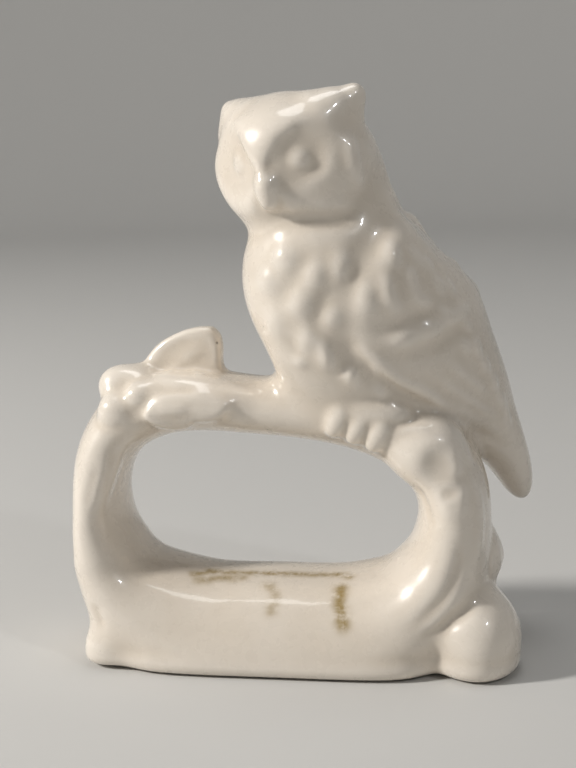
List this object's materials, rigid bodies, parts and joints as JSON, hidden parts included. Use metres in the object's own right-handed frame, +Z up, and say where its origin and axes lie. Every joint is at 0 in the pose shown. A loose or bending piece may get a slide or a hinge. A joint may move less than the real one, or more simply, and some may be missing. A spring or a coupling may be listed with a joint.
{
  "type": "owl napkin ring",
  "caption": "Glazed porcelain napkin ring: an owl with ear tufts perched on a bough that closes as an oval ring on a flat foot, with a leaf and berry spray at one shoulder.",
  "frame": {"origin": "on the surface it stands on, at the middle of the ring's flat foot", "axes": "+Z up, +Y the way the napkin passes through the ring away from the viewer, -Y the side the owl looks to, +X towards the owl's tail"},
  "size_m": [0.069, 0.0334, 0.0841],
  "materials": {
    "glaze": "cream white porcelain under a clear, even gloss glaze"
  },
  "bodies": {
    "root": {"bark_burl": "glaze", "base": "glaze", "beak": "glaze", "berry_front": "glaze", "berry_middle": "glaze", "berry_top": "glaze", "bough_left": "glaze", "bough_perch": "glaze", "bough_right": "glaze", "branch_stub": "glaze", "ear_left": "glaze", "ear_right": "glaze", "eye_left": "glaze", "eye_right": "glaze", "foot_left": "glaze", "foot_right": "glaze", "leaf_hanging": "glaze", "leaf_perch": "glaze", "leaf_upright": "glaze", "owl_body": "glaze", "owl_head": "glaze", "root_left": "glaze", "root_right": "glaze", "tail": "glaze", "wing_left": "glaze", "wing_right": "glaze"}
  },
  "joints": []
}
